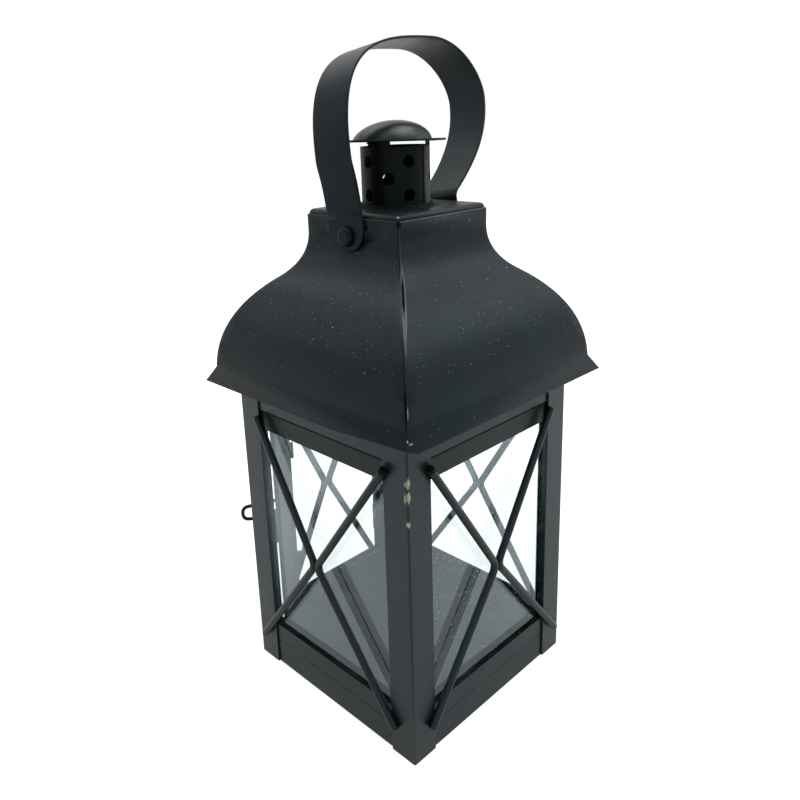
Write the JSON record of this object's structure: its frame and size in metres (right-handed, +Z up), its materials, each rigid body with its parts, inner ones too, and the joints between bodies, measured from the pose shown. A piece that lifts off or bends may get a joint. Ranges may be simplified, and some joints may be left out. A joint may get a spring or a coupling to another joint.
{
  "type": "candle lantern",
  "caption": "Square sheet-metal candle lantern with glazed sides behind crossed wires, an ogee roof, a vented chimney, a hinged door and a strap handle.",
  "frame": {"origin": "centre of the footprint on the table", "axes": "+Z up, -Y out of the door, +X to the right when facing the door"},
  "size_m": [0.151, 0.151, 0.3465],
  "materials": {
    "body_paint": "semi-matt charcoal paint",
    "roof_paint": "semi-matt charcoal paint with dust",
    "wire_paint": "semi-matt black paint",
    "strap_paint": "semi-matt black paint",
    "hinge_paint": "semi-matt black paint",
    "window_glass": "clear, faint green, a little dusty"
  },
  "bodies": {
    "body": {"base_tray": "body_paint", "front_left_post": "body_paint", "front_right_post": "body_paint", "rear_left_post": "body_paint", "rear_right_post": "body_paint", "left_sill": "body_paint", "rear_sill": "body_paint", "right_sill": "body_paint", "left_head_rail": "body_paint", "rear_head_rail": "body_paint", "right_head_rail": "body_paint", "top_band": "body_paint", "roof_seat": "body_paint", "glass_clips": "body_paint", "door_stop": "body_paint", "front_roof_panel": "roof_paint", "left_roof_panel": "roof_paint", "rear_roof_panel": "roof_paint", "right_roof_panel": "roof_paint", "crown_plate": "roof_paint", "chimney_tube": "roof_paint", "chimney_cap": "roof_paint", "right_rear_wire": "wire_paint", "right_front_wire": "wire_paint", "rear_right_wire": "wire_paint", "rear_left_wire": "wire_paint", "left_front_wire": "wire_paint", "left_rear_wire": "wire_paint", "left_glass": "window_glass", "rear_glass": "window_glass", "right_glass": "window_glass", "handle_rivets": "strap_paint", "hinge_post_leaves": "hinge_paint", "hinge_pins": "hinge_paint"},
    "door": {"door_frame": "body_paint", "door_glass": "window_glass", "door_glass_clips": "body_paint", "door_left_wire": "wire_paint", "door_right_wire": "wire_paint", "door_pull": "wire_paint", "hinge_door_leaves": "hinge_paint"},
    "handle": {"handle_strap": "strap_paint"}
  },
  "joints": [
    {"name": "handle_swing", "type": "hinge", "parent": "body", "child": "handle", "pos_m": [0, 0, 0.25276], "axis": [1, 0, 0], "range_deg": [-37, 22]},
    {"name": "door_swing", "type": "hinge", "parent": "body", "child": "door", "pos_m": [-0.0464, -0.06485, 0.087], "axis": [0, 0, -1], "range_deg": [0, 110]}
  ]
}
